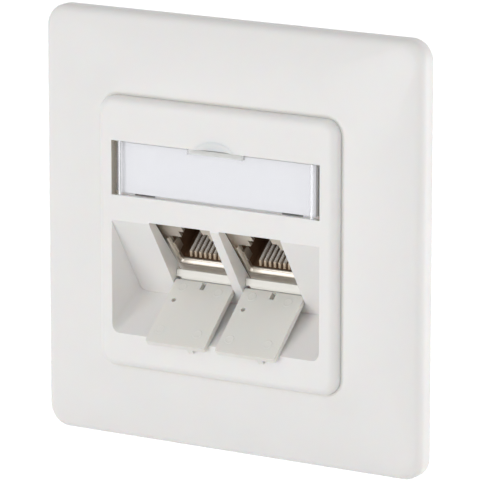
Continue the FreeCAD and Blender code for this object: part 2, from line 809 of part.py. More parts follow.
card = new_body("label_card")
card_sheet = rectangles(
    card,
    "CardSheet",
    origin_plane(card, "XZ_Plane"),
    [("-%s/2+card_gap" % card_wide, "-%s/2+card_gap" % card_high,
      card_wide + "-2*card_gap", card_high + "-2*card_gap")],
    ("0", "label_centre", "label_seat"),
)
pad(card, card_sheet, "card_thick")


# Dust flaps: a thin lid with a rounded root and two hinge pins, drawn closed about
# the hinge axis and then turned open onto the lower edge of the recess.
def dust_flap(name, centre):
    flap = new_body(name)
    profile_plane = origin_plane(flap, "YZ_Plane")
    face_plane = origin_plane(flap, "XZ_Plane")
    flap_wide = "(port_wide-2*flap_side_gap)"
    lid = rectangles(
        flap,
        name + "Lid",
        profile_plane,
        [("-flap_skin", "-flap_root", "flap_thick", "flap_reach+flap_root")],
    )
    pad(flap, lid, flap_wide, both=True)
    tip = amount_of("flap_reach")
    half = amount_of(flap_wide) / 2
    soften(
        flap,
        name + "Corners",
        "flap_tip_round",
        lambda edge: near(box_of(edge).ZMin, tip)
        and near(abs(edge.CenterOfMass.x), half)
        and box_of(edge).YLength > SIZES["flap_thick"] / 2,
    )
    root = -amount_of("flap_root")
    soften(
        flap,
        name + "Root",
        "flap_root_round",
        lambda edge: near(box_of(edge).ZMin, root)
        and near(box_of(edge).ZMax, root)
        and box_of(edge).XLength > half,
    )
    pins = circles(flap, name + "Pins", profile_plane, [("0", "0", "pin_radius")])
    pad(flap, pins, flap_wide + "+2*pin_length", both=True)
    slot = rectangles(
        flap,
        name + "Slot",
        face_plane,
        [("-flap_slot_wide/2", "-flap_slot_low", "flap_slot_wide", "flap_slot_high")],
    )
    pocket(flap, slot, "4*flap_skin", both=True)
    grip = rectangles(
        flap,
        name + "Grip",
        face_plane,
        [("grip_offset-grip_wide/2", "flap_reach-grip_inset-grip_high", "grip_wide", "grip_high")],
    )
    pad(flap, grip, "flap_skin+grip_proud")
    inner = ("0", "0", "flap_skin-flap_thick")
    pip = circles(
        flap, name + "Pip", face_plane, [("-pip_side", "pip_along", "pip_radius")], inner
    )
    pocket(flap, pip, "2*flap_thick", back=True)
    flap.Placement = FreeCAD.Placement(
        FreeCAD.Vector(0, 0, 0), FreeCAD.Rotation(FreeCAD.Vector(1, 0, 0), 1.0)
    )
    flap.setExpression("Placement.Base.x", cell(centre))
    flap.setExpression("Placement.Base.y", cell("hinge_y"))
    flap.setExpression("Placement.Base.z", cell("hinge_z"))
    flap.setExpression("Placement.Rotation.Angle", cell("recess_tilt+flap_open"))
    return flap


left_flap = dust_flap("left_dust_flap", "-port_pitch/2")
right_flap = dust_flap("right_dust_flap", "port_pitch/2")

# Support ring: sheet metal with slots at the wall box's screw spacing, a wide
# window for the recess and a narrower one for the module above it.
ring = new_body("support_ring")
ring_plane = origin_plane(ring, "XZ_Plane")
ring_sheet = rounded_squares(ring, "RingSheet", ring_plane, [("ring_side", "ring_corner")])
pad(ring, ring_sheet, "ring_thick")
recess_half = "(recess_wide/2+recess_wall+ring_gap)"
module_half = "(housing_half+ring_gap)"
ring_windows = rectangles(
    ring,
    "RingRecessWindow",
    ring_plane,
    [("-" + recess_half, "-ring_sill", "2*" + recess_half, "ring_sill-ring_step")],
)
pocket(ring, ring_windows, "2*ring_thick", both=True)
module_window = rectangles(
    ring,
    "RingModuleWindow",
    ring_plane,
    [("-" + module_half, "-ring_step-ring_thick", "2*" + module_half,
      "ring_step+ring_thick+ring_neck")],
)
pocket(ring, module_window, "2*ring_thick", both=True)
ring_slots = slots(
    ring,
    "RingSlots",
    ring_plane,
    [("-slot_spacing/2", "0", "slot_wide", "slot_long"),
     ("slot_spacing/2", "0", "slot_wide", "slot_long"),
     ("0", "slot_spacing/2", "slot_wide", "slot_long"),
     ("0", "-slot_spacing/2", "slot_wide", "slot_long")],
)
pocket(ring, ring_slots, "2*ring_thick", both=True)
ear_screw_z = "(ear_low+ear_high/2)"
ring_holes = circles(
    ring,
    "RingHoles",
    ring_plane,
    [("0", "screw_height", "screw_radius+screw_thread_gap"),
     ("-ear_screw_x", ear_screw_z, "ear_screw_radius+screw_hole_gap"),
     ("ear_screw_x", ear_screw_z, "ear_screw_radius+screw_hole_gap")],
)
pocket(ring, ring_holes, "2*ring_thick", both=True)

# Screw that draws the central plate onto the ring, hidden by the label card.
plate_screw = new_body("plate_screw")
screw_plane = origin_plane(plate_screw, "XZ_Plane")
head_seat = "(label_seat-screw_recess)"
head = circles(
    plate_screw,
    "ScrewHead",
    screw_plane,
    [("0", "screw_height", "screw_head_radius")],
    ("0", "0", head_seat),
)
pad(plate_screw, head, "screw_head_high")
shank = circles(
    plate_screw,
    "ScrewShank",
    screw_plane,
    [("0", "screw_height", "screw_radius")],
    ("0", "0", head_seat),
)
pad(plate_screw, shank, head_seat + "+screw_tail", back=True)
drive = rectangles(
    plate_screw,
    "ScrewDrive",
    screw_plane,
    [("-screw_head_radius*2", "screw_height-drive_wide/2", "screw_head_radius*4", "drive_wide")],
    ("0", "0", head_seat + "+screw_head_high"),
)
pocket(plate_screw, drive, "drive_deep")

# Module housing: a die-cast frame round both jacks with a shoulder for the
# circuit board and two ears that bear on the back of the ring.
housing = new_body("module_housing")
housing_plane = slanted_plane(housing, "HousingPlane", "jack_tilt", "jack_z", "-jack_y")
wall_plane = origin_plane(housing, "XZ_Plane")
room_half = "(housing_half-housing_wall)"
room_top = "(jack_top-housing_room)"
room_high = "(jack_high+2*housing_room)"
shell = rectangles(
    housing,
    "HousingShell",
    housing_plane,
    [("-housing_half", "-%s-%s-housing_wall" % (room_top, room_high), "2*housing_half",
      room_high + "+2*housing_wall")],
    ("0", "0", "-housing_front"),
)
pad(housing, shell, "housing_back-housing_front", back=True)
ears = rectangles(
    housing,
    "HousingEars",
    wall_plane,
    [("-ear_screw_x-ear_screw_inset", "ear_low", "2*(ear_screw_x+ear_screw_inset)", "ear_high")],
)
pad(housing, ears, "ear_thick", back=True)
room = rectangles(
    housing,
    "JackRoom",
    housing_plane,
    [("-" + room_half, "-%s-%s" % (room_top, room_high), "2*" + room_half, room_high)],
    ("0", "0", "0"),
)
pocket(housing, room, "housing_back+board_gap")
board_room = rectangles(
    housing,
    "BoardRoom",
    housing_plane,
    [("-%s-board_margin" % room_half, "-%s-%s-board_margin" % (room_top, room_high),
      "2*(%s+board_margin)" % room_half, room_high + "+2*board_margin")],
    ("0", "0", "-board_front"),
)
pocket(housing, board_room, "board_thick+2*board_gap")
ear_holes = circles(
    housing,
    "EarHoles",
    wall_plane,
    [("-ear_screw_x", ear_screw_z, "ear_screw_radius+screw_thread_gap"),
     ("ear_screw_x", ear_screw_z, "ear_screw_radius+screw_thread_gap")],
)
pocket(housing, ear_holes, "4*ear_thick", both=True)

# Housing screws, one through each side of the ring into the ears.
ear_screws = new_body("housing_screws")
ear_screw_plane = origin_plane(ear_screws, "XZ_Plane")
ear_heads = circles(
    ear_screws,
    "EarScrewHeads",
    ear_screw_plane,
    [("-ear_screw_x", ear_screw_z, "ear_head_radius"),
     ("ear_screw_x", ear_screw_z, "ear_head_radius")],
    ("0", "0", "ring_thick"),
)
pad(ear_screws, ear_heads, "ear_head_high")
ear_shanks = circles(
    ear_screws,
    "EarScrewShanks",
    ear_screw_plane,
    [("-ear_screw_x", ear_screw_z, "ear_screw_radius"),
     ("ear_screw_x", ear_screw_z, "ear_screw_radius")],
    ("0", "0", "ring_thick"),
)
pad(ear_screws, ear_shanks, "ring_thick+2*ear_thick", back=True)

# Circuit board on the housing's shoulder.
board = new_body("circuit_board")
module_placement(board)
board_sheet = rectangles(
    board,
    "BoardSheet",
    origin_plane(board, "XZ_Plane"),
    [("-%s-board_margin+board_gap" % room_half,
      "-%s-%s-board_margin+board_gap" % (room_top, room_high),
      "2*(%s+board_margin-board_gap)" % room_half, room_high + "+2*(board_margin-board_gap)")],
    ("0", "0", "-board_front"),
)
pad(board, board_sheet, "board_thick", back=True)


# Jacks: a metal shell with the stepped plug opening in its face and a grounding
# spring at each side of it, a plastic insert with the cavity and a comb in its
# back wall, and a row of spring contacts that reach forward to hooked tips.
def mouth_outline(centre, room):
    halves = ["(%s/2+%s)" % (wide, room) for wide in ("cavity_wide", "key_wide", "latch_wide")]
    tops = ["(%s-%s)" % (top, room) for top in ("cavity_top", "key_top", "latch_top")]
    corners = [("%s+%s" % (centre, halves[0]), "-cavity_bottom-%s" % room)]
    for half, top, follow in zip(halves, tops, halves[1:] + halves[2:]):
        corners.append(("%s+%s" % (centre, half), "-" + top))
        if follow != half:
            corners.append(("%s+%s" % (centre, follow), "-" + top))
    mirrored = [(across.replace("+(", "-(", 1), along) for across, along in reversed(corners)]
    return corners + mirrored


def jack_shield(name, centre):
    shield = new_body(name)
    module_placement(shield)
    plane = origin_plane(shield, "XZ_Plane")
    shell_face = rectangles(
        shield,
        name + "Shell",
        plane,
        [("%s-jack_wide/2" % centre, "-jack_top-jack_high", "jack_wide", "jack_high")],
        ("0", "0", "-jack_setback"),
    )
    pad(shield, shell_face, "jack_long", back=True)
    inside = rectangles(
        shield,
        name + "Inside",
        plane,
        [("%s-jack_wide/2+jack_skin" % centre, "-jack_top-jack_high+jack_skin",
          "jack_wide-2*jack_skin", "jack_high-2*jack_skin")],
        ("0", "0", "-jack_setback-jack_face"),
    )
    pocket(shield, inside, "jack_long")
    face = ("0", "0", "-jack_setback")
    mouth = polygon(shield, name + "Mouth", plane, mouth_outline(centre, "0"), face)
    pocket(shield, mouth, "4*jack_face", both=True)
    springs = rectangles(
        shield,
        name + "Springs",
        plane,
        [("%s-cavity_wide/2" % centre, "-spring_top-spring_high", "spring_thick", "spring_high"),
         ("%s+cavity_wide/2-spring_thick" % centre, "-spring_top-spring_high", "spring_thick",
          "spring_high")],
        face,
    )
    pad(shield, springs, "spring_deep", back=True)
    front = amount_of("jack_setback")
    low = -amount_of("cavity_bottom")
    soften(
        shield,
        name + "Lip",
        "lip_round",
        lambda edge: near(box_of(edge).YMin, front)
        and near(box_of(edge).YMax, front)
        and near(box_of(edge).ZMin, low)
        and near(box_of(edge).ZMax, low),
    )
    return shield


def jack_insert(name, centre):
    insert = new_body(name)
    module_placement(insert)
    plane = origin_plane(insert, "XZ_Plane")
    skin = "(jack_skin+jack_fit)"
    block = rectangles(
        insert,
        name + "Block",
        plane,
        [("%s-jack_wide/2+%s" % (centre, skin), "-jack_top-jack_high+%s" % skin,
          "jack_wide-2*%s" % skin, "jack_high-2*%s" % skin)],
        ("0", "0", "-jack_setback-jack_face"),
    )
    pad(insert, block, "jack_long-jack_face", back=True)
    cavity = polygon(
        insert,
        name + "Cavity",
        plane,
        mouth_outline(centre, "jack_fit"),
        ("0", "0", "-jack_setback-jack_face"),
    )
    pocket(insert, cavity, "cavity_deep")
    comb = rectangles(
        insert,
        name + "Comb",
        plane,
        [("%s-3.5*contact_pitch-contact_wide/2-comb_gap" % centre,
          "contact_lift-cavity_bottom-comb_gap", "contact_wide+2*comb_gap",
          "contact_thick+2*comb_gap")],
        ("0", "0", "-jack_setback-jack_face-cavity_deep"),
    )
    groove = pocket(insert, comb, "jack_long")
    row_of(insert, groove, comb, "contact_pitch", 8)
    return insert


def jack_contacts(name, centre):
    contacts = new_body(name)
    module_placement(contacts)
    arm = "(contact_lift-cavity_bottom)"
    nose = "(jack_setback+contact_front)"
    strip = polygon(
        contacts,
        name + "Strip",
        origin_plane(contacts, "YZ_Plane"),
        [("board_front", arm), (nose + "+contact_hook+contact_thick", arm),
         (nose + "+contact_thick", arm + "-contact_drop"), (nose, arm + "-contact_drop"),
         (nose + "+contact_hook", arm + "+contact_thick"), ("board_front", arm + "+contact_thick")],
        ("0", "0", "%s-3.5*contact_pitch" % centre),
    )
    blade = pad(contacts, strip, "contact_wide", both=True)
    row = rectangles(
        contacts,
        name + "RowAxis",
        origin_plane(contacts, "XZ_Plane"),
        [("0", "0", "contact_pitch", "contact_pitch")],
    )
    row_of(contacts, blade, row, "contact_pitch", 8)
    return contacts


def terminal_block(name, centre):
    block = new_body(name)
    module_placement(block)
    plane = origin_plane(block, "XZ_Plane")
    middle = "(jack_top+jack_high/2)"
    base = rectangles(
        block,
        name + "Base",
        plane,
        [("%s-terminal_wide/2" % centre, "-%s-terminal_high/2" % middle,
          "terminal_wide", "terminal_high")],
        ("0", "0", "-board_back"),
    )
    pad(block, base, "terminal_deep", back=True)
    cut = rectangles(
        block,
        name + "Cut",
        plane,
        [("%s-3.5*terminal_pitch-terminal_slot/2" % centre, "-%s-terminal_high" % middle,
          "terminal_slot", "2*terminal_high")],
        ("0", "0", "-board_back-terminal_deep"),
    )
    slot = pocket(block, cut, "terminal_slot_deep", back=True)
    row_of(block, slot, cut, "terminal_pitch", 8)
    return block


def terminal_contacts(name, centre):
    blades = new_body(name)
    module_placement(blades)
    plane = origin_plane(blades, "XZ_Plane")
    middle = "(jack_top+jack_high/2)"
    blade = rectangles(
        blades,
        name + "Blade",
        plane,
        [("%s-3.5*terminal_pitch-blade_thick/2" % centre, "-%s-blade_high/2" % middle,
          "blade_thick", "blade_high")],
        ("0", "0", "-board_back-terminal_deep+terminal_slot_deep"),
    )
    first = pad(blades, blade, "blade_deep", back=True)
    row_of(blades, first, blade, "terminal_pitch", 8)
    return blades


pieces = [frame, plate, window, card, left_flap, right_flap, ring, plate_screw]
pieces += [housing, ear_screws, board]
for side, centre in (("left", "(-port_pitch/2)"), ("right", "(port_pitch/2)")):
    pieces.append(jack_shield(side + "_jack_shield", centre))
    pieces.append(jack_insert(side + "_jack_insert", centre))
    pieces.append(jack_contacts(side + "_jack_contacts", centre))
    pieces.append(terminal_block(side + "_terminal_block", centre))
    pieces.append(terminal_contacts(side + "_terminal_contacts", centre))

# Rear cover over the terminals, open towards the board, with a round cable
# opening on each side of its upper wall.
cover = new_body("shield_cover")
module_placement(cover)
cover_plane = origin_plane(cover, "XZ_Plane")
cover_top = "(-%s+housing_wall)" % room_top
cover_high = "(%s+2*housing_wall)" % room_high
cover_shell = rectangles(
    cover,
    "CoverShell",
    cover_plane,
    [("-housing_half", cover_top + "-" + cover_high, "2*housing_half", cover_high)],
    ("0", "0", "-housing_back"),
)
pad(cover, cover_shell, "cover_deep", back=True)
cover_back = amount_of("housing_back+cover_deep")
soften(cover, "CoverRound", "cover_round", lambda edge: near(box_of(edge).YMax, cover_back))
cover_room = rectangles(
    cover,
    "CoverRoom",
    cover_plane,
    [("-housing_half+cover_wall", "%s-%s+cover_wall" % (cover_top, cover_high),
      "2*(housing_half-cover_wall)", cover_high + "-2*cover_wall")],
    ("0", "0", "-housing_back"),
)
pocket(cover, cover_room, "cover_deep-cover_wall")
cable_ways = circles(
    cover,
    "CableWays",
    origin_plane(cover, "XY_Plane"),
    [("-port_pitch/2", "housing_back+cover_deep/2", "cable_radius"),
     ("port_pitch/2", "housing_back+cover_deep/2", "cable_radius")],
    ("0", "0", cover_top),
)
pocket(cover, cable_ways, "2*cover_wall", both=True)
pieces.append(cover)

doc.recompute()
for item in doc.Objects:
    if "Invalid" in item.State or "Error" in item.State:
        raise RuntimeError("%s failed: %s" % (item.Name, item.State))
for piece in pieces:
    if piece.Shape.isNull() or not piece.Shape.isValid():
        raise RuntimeError("%s has no valid shape" % piece.Label)

os.makedirs("parts", exist_ok=True)
for piece in pieces:
    piece.Shape.exportStep("parts/%s.step" % piece.Label)
    print("%-24s solids %2d volume %9.2f" % (piece.Label, len(piece.Shape.Solids), piece.Shape.Volume))
print("hinge y %.4f z %.4f open %.3f" % (rows["hinge_y"], rows["hinge_z"], rows["flap_open"]))
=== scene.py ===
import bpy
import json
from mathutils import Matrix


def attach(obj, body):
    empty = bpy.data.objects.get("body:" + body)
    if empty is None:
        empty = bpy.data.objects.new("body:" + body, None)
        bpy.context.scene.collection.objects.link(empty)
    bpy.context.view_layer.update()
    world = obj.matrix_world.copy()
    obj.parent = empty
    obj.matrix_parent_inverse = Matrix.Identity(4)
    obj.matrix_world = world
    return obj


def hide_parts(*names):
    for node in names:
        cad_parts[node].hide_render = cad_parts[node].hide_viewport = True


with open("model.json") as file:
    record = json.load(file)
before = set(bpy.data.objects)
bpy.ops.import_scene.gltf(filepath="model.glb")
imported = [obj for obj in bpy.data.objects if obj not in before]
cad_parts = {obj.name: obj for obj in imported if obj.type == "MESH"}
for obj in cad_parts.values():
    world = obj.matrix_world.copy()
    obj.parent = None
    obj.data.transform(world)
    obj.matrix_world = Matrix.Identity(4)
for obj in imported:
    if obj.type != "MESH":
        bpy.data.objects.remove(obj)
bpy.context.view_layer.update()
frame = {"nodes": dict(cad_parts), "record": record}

import json
import math

import bmesh
import bpy
from mathutils import Matrix, Vector

nodes = frame["nodes"]
scene = bpy.context.scene


# Measures of the part that the pieces share, in millimetres. A tilted frame has the tilt of its
# face from upright, and the depth y and height z of its start.

MM = 0.001
PLATE_FRONT = -9.0
PORT_CENTRE = 7.45
RECESS_TILT, RECESS_START = math.radians(33.5), (PLATE_FRONT, 2.26)
JACK_TILT, JACK_START = math.radians(40.8), (-7.749, 3.088)
FLAP_SWING, FLAP_HINGE = math.radians(98.596), (-0.0961, -10.0146)


# Materials

def linear(red, green, blue):
    """Shader colour of a colour written in 0 to 255."""
    out = []
    for value in (red, green, blue):
        c = value / 255.0
        out.append(c / 12.92 if c <= 0.04045 else ((c + 0.055) / 1.055) ** 2.4)
    return (out[0], out[1], out[2], 1.0)


def grey(value):
    return (value, value, value, 1.0)


class Tree:
    """The node tree of a material or a world, emptied."""

    def __init__(self, owner):
        owner.use_nodes = True
        self.tree = owner.node_tree
        self.tree.nodes.clear()

    def add(self, kind, values=None, **settings):
        """A new node with its settings, and with values for its inputs by name."""
        node = self.tree.nodes.new(kind)
        for key, value in settings.items():
            setattr(node, key, value)
        for key, value in (values or {}).items():
            node.inputs[key].default_value = value
        return node

    def link(self, source, target):
        self.tree.links.new(source, target)

    def combine(self, operation, first, second):
        node = self.add("ShaderNodeMath", operation=operation)
        self.link(first, node.inputs[0])
        self.link(second, node.inputs[1])
        return node.outputs[0]


class Finish(Tree):
    """A material with a principled shader and object coordinates in metres."""

    def __init__(self, name):
        self.material = bpy.data.materials.new(name)
        super().__init__(self.material)
        out = self.add("ShaderNodeOutputMaterial")
        self.shader = self.add("ShaderNodeBsdfPrincipled")
        self.link(self.shader.outputs["BSDF"], out.inputs["Surface"])
        self.place = self.add("ShaderNodeTexCoord").outputs["Object"]

    def set(self, constants):
        for key, value in constants.items():
            self.shader.inputs[key].default_value = value
        return self

    def stretched(self, scale):
        mapping = self.add("ShaderNodeMapping", {"Scale": scale})
        self.link(self.place, mapping.inputs["Vector"])
        return mapping.outputs["Vector"]

    def noise(self, scale, detail=2.0, roughness=0.5, place=None):
        values = {"Scale": scale, "Detail": detail, "Roughness": roughness}
        node = self.add("ShaderNodeTexNoise", values)
        self.link(place or self.place, node.inputs["Vector"])
        return node.outputs["Fac"]

    def cells(self, scale):
        node = self.add("ShaderNodeTexVoronoi", {"Scale": scale})
        self.link(self.place, node.inputs["Vector"])
        return node.outputs["Color"]

    def mapped(self, source, limits):
        node = self.add("ShaderNodeMapRange", limits)
        self.link(source, node.inputs["Value"])
        return node.outputs["Result"]

    def along(self, axis, low, high):
        """Place along an axis, from 0 to 1 between two points of it."""
        split = self.add("ShaderNodeSeparateXYZ")
        self.link(self.place, split.inputs[0])
        return self.mapped(split.outputs[axis], {"From Min": low, "From Max": high})

    def toward(self, way, low, high):
        """Place along a direction, from 0 to 1 between two points of it."""
        dot = self.add("ShaderNodeVectorMath", operation="DOT_PRODUCT")
        dot.inputs[1].default_value = way
        self.link(self.place, dot.inputs[0])
        return self.mapped(dot.outputs["Value"], {"From Min": low, "From Max": high})

    def spread(self, source, low, high):
        return self.mapped(source, {"To Min": low, "To Max": high})

    def ramp(self, source, stops):
        node = self.add("ShaderNodeValToRGB")
        elements = node.color_ramp.elements
        while len(elements) < len(stops):
            elements.new(0.5)
        for element, (at, colour) in zip(elements, stops):
            element.position = at
            element.color = colour
        self.link(source, node.inputs["Fac"])
        return node.outputs["Color"]

    def bands(self, source, *bands):
        """1 in each band and 0 elsewhere: where each starts, is full from and to, and ends."""
        stops = []
        for start, full, full_to, end in bands:
            stops += [(start, grey(0.0)), (full, grey(1.0)), (full_to, grey(1.0)), (end, grey(0.0))]
        return self.ramp(source, stops)

    def colour(self, source, stops):
        self.link(self.ramp(source, stops), self.shader.inputs["Base Color"])
        return self

    def mottle(self, source, low, high):
        """Colours between two shades of 0 to 255, by a grain."""
        return self.colour(source, [(0.3, linear(*low)), (0.7, linear(*high))])

    def over_colour(self, **settings):
        """A mix node that takes in the colour so far and passes on its own."""
        node = self.add("ShaderNodeMix", data_type="RGBA", **settings)
        base = self.shader.inputs["Base Color"]
        self.link(base.links[0].from_socket, node.inputs["A"])
        self.link(node.outputs["Result"], base)
        return node

    def recolour(self, share, colour):
        """Mixes a second colour into the first one by a share of 0 to 1."""
        node = self.over_colour()
        self.link(share, node.inputs["Factor"])
        node.inputs["B"].default_value = colour
        return self

    def crevices(self, reach, stops, alone=False):
        """Paints shade into the colour: darkens it where near surfaces, or those of its own piece
        alone, close it in.
        """
        open_sky = self.add(
            "ShaderNodeAmbientOcclusion", {"Distance": reach}, samples=8, only_local=alone
        )
        node = self.over_colour(blend_type="MULTIPLY")
        node.inputs["Factor"].default_value = 1.0
        self.link(self.ramp(open_sky.outputs["AO"], stops), node.inputs["B"])
        return self

    def gloss(self, source, low, high):
        self.link(self.spread(source, low, high), self.shader.inputs["Roughness"])
        return self

    def bump(self, source, strength, height):
        node = self.add("ShaderNodeBump", {"Strength": strength, "Distance": height})
        self.link(source, node.inputs["Height"])
        self.link(node.outputs["Normal"], self.shader.inputs["Normal"])
        return self


def grained(name, constants, shades, shade_noise, gloss, gloss_noise, relief, relief_noise):
    """A finish with a noise each in its colour, gloss and relief.

    A noise is its scale and detail, and its roughness where that isn't 0.5. Gloss is the least and
    the most roughness, and relief its strength and its height in metres.
    """
    f = Finish(name).set(constants)
    f.mottle(f.noise(*shade_noise), *shades)
    f.gloss(f.noise(*gloss_noise), *gloss)
    return f.bump(f.noise(*relief_noise), *relief)


MOULDED = {"IOR": 1.5}
METAL = {"Metallic": 1.0}
SCATTERING = {
    "Subsurface Weight": 0.35, "Subsurface Radius": (1.0, 0.6, 0.4), "Subsurface Scale": 0.0009,
}
THIN = {"Subsurface Weight": 0.0}

# Shades in 0 to 255, and tints of painted shade on a surface from 0, closed in, to 1, open

WHITE = (241, 239, 237)
# The flaps' white, darker and warmer than the rest: painted shade on the flaps and their marks
FLAP_SHADED_WHITE = (236, 234, 228)
# The sills' white, lighter than the rest: painted light on the sills
SILL_LIT_WHITE = (245, 243, 236)
# Painted shade, brown where a surface is closed in
CREVICE_SHADE = [(0.0, linear(120, 98, 78)), (0.3, linear(222, 214, 204)), (0.52, grey(1.0))]
# Painted contact shadow, a wider soft darkening of the frame beside the plate
CONTACT_SHADOW = [
    (0.0, linear(226, 221, 214)), (0.35, linear(236, 233, 228)), (0.6, linear(246, 245, 242)),
    (0.9, grey(1.0)),
]
# Painted shade on the metal, brown where it is closed in
NICKEL_SHADE = [(0.0, linear(120, 98, 78)), (0.3, linear(206, 194, 180)), (0.6, grey(1.0))]

# The label's pocket and window, in metres

POCKET_ENDS = (-0.0222, 0.0222)
POCKET_HEIGHT = (0.0069, 0.0172)
POCKET_DEPTH = (-0.0090, -0.0074)
LIP_ENDS, LIP_EDGE = (-0.0059, 0.0059), (0.01605, 0.01615)
STRIP_BACK = (-0.0086, -0.0087)
CLEAR_ALPHA, LIP_ALPHA, STRIP_ALPHA = 0.04, 0.6, 0.92


def white_plastic(name="white_plastic", alone=False, shade=WHITE, reach=0.0006, stops=CREVICE_SHADE):
    """Moulded plastic that light enters a little, with painted shade in its crevices."""
    lighter = [value + 2 for value in shade]
    f = grained(
        name, {**MOULDED, **SCATTERING}, (shade, lighter), (70, 3),
        gloss=(0.36, 0.46), gloss_noise=(900, 2), relief=(0.05, 0.00006), relief_noise=(5200, 2),
    )
    return f.crevices(reach, stops, alone)


def plate_plastic():
    """The same plastic, with painted shade at both ends of the pocket behind the label's window."""
    f = white_plastic("plate_plastic", True)
    ends = f.bands(
        f.along("X", *POCKET_ENDS), (0.0, 0.002, 0.023, 0.025), (0.972, 0.974, 0.998, 1.0)
    )
    high = f.bands(f.along("Z", *POCKET_HEIGHT), (0.0, 0.01, 0.99, 1.0))
    deep = f.bands(f.along("Y", *POCKET_DEPTH), (0.0, 0.04, 0.95, 1.0))
    # Painted shade: the pocket's ends are darkened to an olive grey
    pocket_end_shade = f.combine("MULTIPLY", f.combine("MULTIPLY", ends, high), deep)
    return f.recolour(pocket_end_shade, linear(184, 174, 154))


def clear_plastic():
    """The label's window, clear but for its lip and a frosted strip near each end."""
    f = Finish("clear_plastic").set({"IOR": 1.49})
    f.mottle(f.noise(60, 2), (230, 232, 238), (236, 237, 242))
    middle = f.bands(f.along("X", *LIP_ENDS), (0.0, 0.01, 0.99, 1.0))
    lip = f.combine("MULTIPLY", middle, f.along("Z", *LIP_EDGE))
    near_ends = f.bands(
        f.along("X", *POCKET_ENDS), (0.0345, 0.0375, 0.046, 0.048), (0.952, 0.954, 0.9625, 0.9655)
    )
    strips = f.combine("MULTIPLY", near_ends, f.along("Y", *STRIP_BACK))
    f.recolour(lip, linear(226, 226, 222))
    f.recolour(strips, linear(250, 250, 253))
    lip_alpha = f.spread(lip, CLEAR_ALPHA, LIP_ALPHA)
    strip_alpha = f.spread(strips, CLEAR_ALPHA, STRIP_ALPHA)
    f.link(f.combine("MAXIMUM", lip_alpha, strip_alpha), f.shader.inputs["Alpha"])
    return f.gloss(f.noise(500, 2), 0.06, 0.14)


def nickel_plate():
    f = grained(
        "nickel_plate", METAL, ((200, 192, 181), (215, 208, 198)), (260, 3),
        gloss=(0.36, 0.5), gloss_noise=(700, 3), relief=(0.06, 0.00005), relief_noise=(2600, 3),
    )
    # Brown painted shade where the shield's surfaces close in
    return f.crevices(reach=0.0011, stops=NICKEL_SHADE)


def contact_metal():
    """Spring contacts, brown at the tips and near white further in, their pale metal lightened as
    painted light on the arms.
    """
    f = Finish("contact_metal").set({"Metallic": 0.1})
    fade = 0.0016
    y, z = math.cos(JACK_TILT), math.sin(JACK_TILT)
    tip = min(v.co.y * y + v.co.z * z for v in nodes["left_jack_contacts"].data.vertices)
    f.colour(f.toward((0.0, y, z), tip, tip + fade), [
        (0.0, linear(150, 130, 106)), (0.3, linear(190, 170, 144)), (0.5, linear(252, 245, 233)),
        (1.0, linear(254, 250, 242)),
    ])
    f.gloss(f.noise(1500, 2), 0.24, 0.36)
    return f.bump(f.noise(5000, 2), 0.05, 0.00003)


def ring_steel():
    """Galvanised sheet with its spangle."""
    f = Finish("ring_steel").set(METAL)
    f.colour(f.cells(420), [(0.2, linear(166, 168, 170)), (0.8, linear(182, 183, 184))])
    f.gloss(f.noise(500, 3), 0.32, 0.48)
    return f.bump(f.noise(1800, 3), 0.08, 0.00006)


def cover_steel():
    """Brushed sheet, with its grain across the cover."""
    f = Finish("cover_steel").set(METAL)
    grain = f.noise(240, 3, 0.6, f.stretched((0.2, 8.0, 8.0)))
    f.mottle(grain, (150, 150, 148), (168, 168, 166))
    f.gloss(grain, 0.46, 0.58)
    return f.bump(grain, 0.05, 0.00005)


def board_laminate():
    """Green lacquer over woven glass."""
    f = Finish("board_laminate").set(MOULDED)
    weave = f.noise(1400, 2, 0.5, f.stretched((1.0, 1.0, 0.25)))
    f.mottle(weave, (24, 84, 46), (36, 108, 60))
    f.gloss(f.noise(600, 2), 0.3, 0.42)
    return f.bump(weave, 0.1, 0.00005)


finishes = {
    "white_plastic": white_plastic(),
    "clear_plastic": clear_plastic(),
    "card_paper": grained(
        "card_paper", {"IOR": 1.4}, ((249, 249, 253), (251, 251, 254)), (420, 4, 0.7),
        gloss=(0.75, 0.9), gloss_noise=(1200, 3),
        relief=(0.12, 0.00004), relief_noise=(3000, 4, 0.7),
    ),
    "nickel_plate": nickel_plate(),
    "contact_metal": contact_metal(),
    "dark_plastic": grained(
        "dark_plastic", MOULDED, ((104, 77, 56), (118, 89, 66)), (300, 3),
        gloss=(0.42, 0.55), gloss_noise=(900, 2), relief=(0.1, 0.00006), relief_noise=(3800, 2),
    ),
    "ring_steel": ring_steel(),
    "screw_steel": grained(
        "screw_steel", METAL, ((178, 180, 182), (206, 207, 208)), (600, 2),
        gloss=(0.24, 0.38), gloss_noise=(900, 2), relief=(0.08, 0.00004), relief_noise=(4000, 2),
    ),
    "cast_zinc": grained(
        "cast_zinc", {"Metallic": 0.9}, ((158, 156, 152), (180, 178, 174)), (220, 4),
        gloss=(0.42, 0.58), gloss_noise=(700, 3), relief=(0.18, 0.00008), relief_noise=(1500, 3),
    ),
    "cover_steel": cover_steel(),
    "board_laminate": board_laminate(),
    "terminal_plastic": grained(
        "terminal_plastic", MOULDED, ((220, 218, 210), (228, 226, 219)), (180, 3),
        gloss=(0.4, 0.52), gloss_noise=(900, 2), relief=(0.06, 0.00006), relief_noise=(4200, 2),
    ),
}
for part in frame["record"]["subparts"]:
    slots = nodes[part["node"]].data.materials
    slots.clear()
    slots.append(finishes[part["material_slot"]].material)

nodes["central_plate"].data.materials[0] = plate_plastic().material
# Darker copy of the plastic on the flaps, painted shade
flap_shaded_plastic = white_plastic("flap_shaded_plastic", True, FLAP_SHADED_WHITE).material
for side in ("left", "right"):
    nodes[side + "_dust_flap"].data.materials[0] = flap_shaded_plastic
